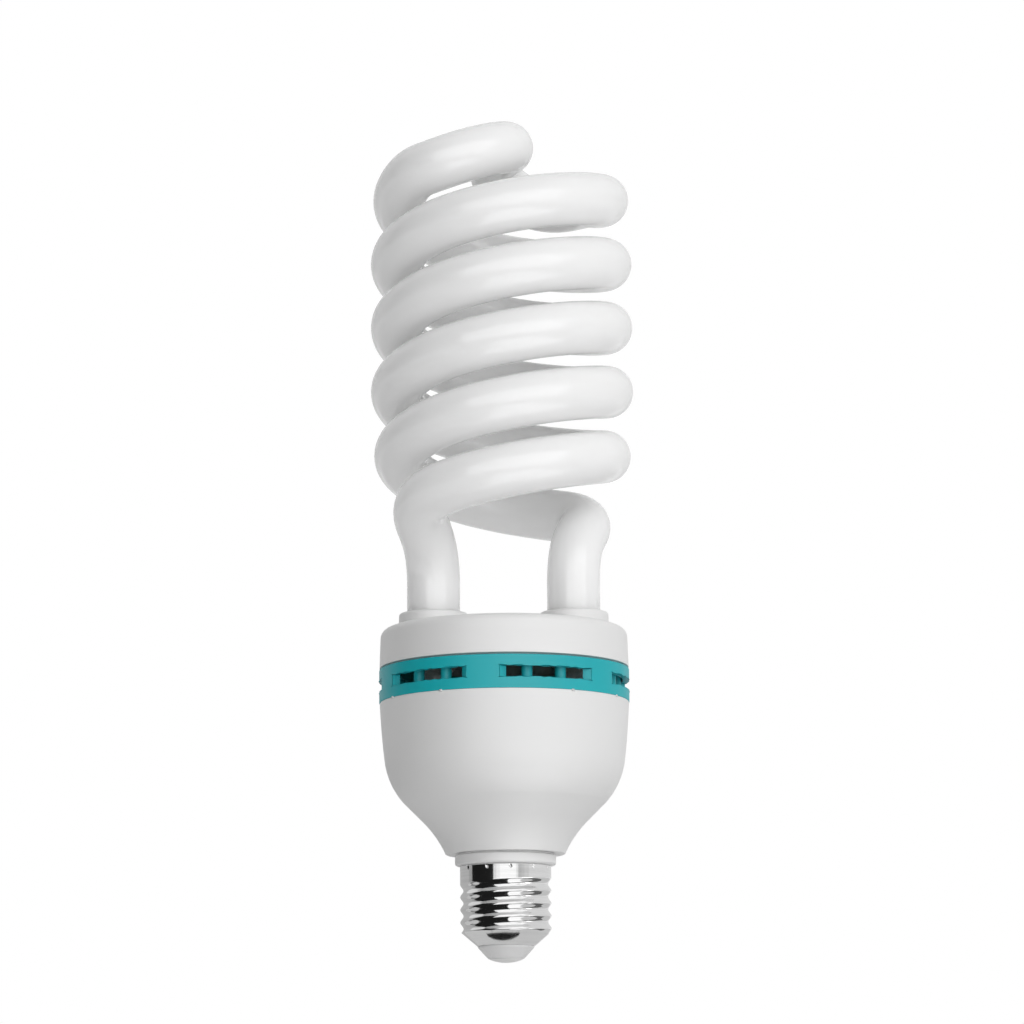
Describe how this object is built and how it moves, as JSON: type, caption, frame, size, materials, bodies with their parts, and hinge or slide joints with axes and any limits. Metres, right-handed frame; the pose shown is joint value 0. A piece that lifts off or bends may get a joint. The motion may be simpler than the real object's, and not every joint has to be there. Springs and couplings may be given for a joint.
{
  "type": "spiral energy saving bulb",
  "caption": "Compact fluorescent lamp: white double-spiral glass tube on a white ballast housing with a teal slotted vent ring and an E27 screw cap.",
  "frame": {"origin": "on the lamp's axis at the flat bottom of the centre contact", "axes": "+Z along the lamp's axis from the screw cap to the top of the coil, the two legs of the tube stand along X, -Y is the front of the picture"},
  "size_m": [0.0774, 0.0774, 0.2485],
  "materials": {
    "coated_glass": "white phosphor behind clear glass",
    "white_plastic": "satin moulded",
    "teal_plastic": "satin moulded",
    "shell_metal": "bright nickel plated",
    "insulator": "smooth",
    "contact_metal": "nickel plated",
    "cement": "soft silicone",
    "board": "laminate",
    "capacitor_sleeve": "shrink sleeve",
    "ferrite": "sintered",
    "bobbin": "moulded",
    "copper": "enamelled wire",
    "film_coating": "dipped epoxy",
    "moulding_compound": "moulded",
    "resistor_enamel": "enamelled",
    "sleeve": "woven glass",
    "tinned_metal": "tinned",
    "live_insulation": "smooth",
    "neutral_insulation": "smooth"
  },
  "bodies": {
    "root": {"base_insulator": "insulator", "bulk_capacitor": "capacitor_sleeve", "centre_contact": "contact_metal", "choke_bobbin": "bobbin", "choke_core": "ferrite", "choke_winding": "copper", "circuit_board": "board", "dc_block_capacitor": "film_coating", "drive_toroid_core": "ferrite", "drive_winding_1": "copper", "drive_winding_2": "copper", "drive_winding_3": "copper", "filter_choke_core": "ferrite", "filter_choke_winding": "copper", "fuse_resistor": "resistor_enamel", "fuse_sleeve": "sleeve", "live_wire": "live_insulation", "lower_housing": "white_plastic", "lower_transistor": "moulding_compound", "neutral_wire": "neutral_insulation", "rectifier_diode_1": "moulding_compound", "rectifier_diode_2": "moulding_compound", "rectifier_diode_3": "moulding_compound", "rectifier_diode_4": "moulding_compound", "resonance_capacitor": "film_coating", "screw_shell": "shell_metal", "spiral_tube": "coated_glass", "tube_cap": "white_plastic", "tube_cement_left": "cement", "tube_cement_right": "cement", "tube_lead_1": "tinned_metal", "tube_lead_2": "tinned_metal", "tube_lead_3": "tinned_metal", "tube_lead_4": "tinned_metal", "upper_transistor": "moulding_compound", "vent_ring": "teal_plastic", "wrap_pin_1": "tinned_metal", "wrap_pin_2": "tinned_metal", "wrap_pin_3": "tinned_metal", "wrap_pin_4": "tinned_metal"}
  },
  "joints": []
}
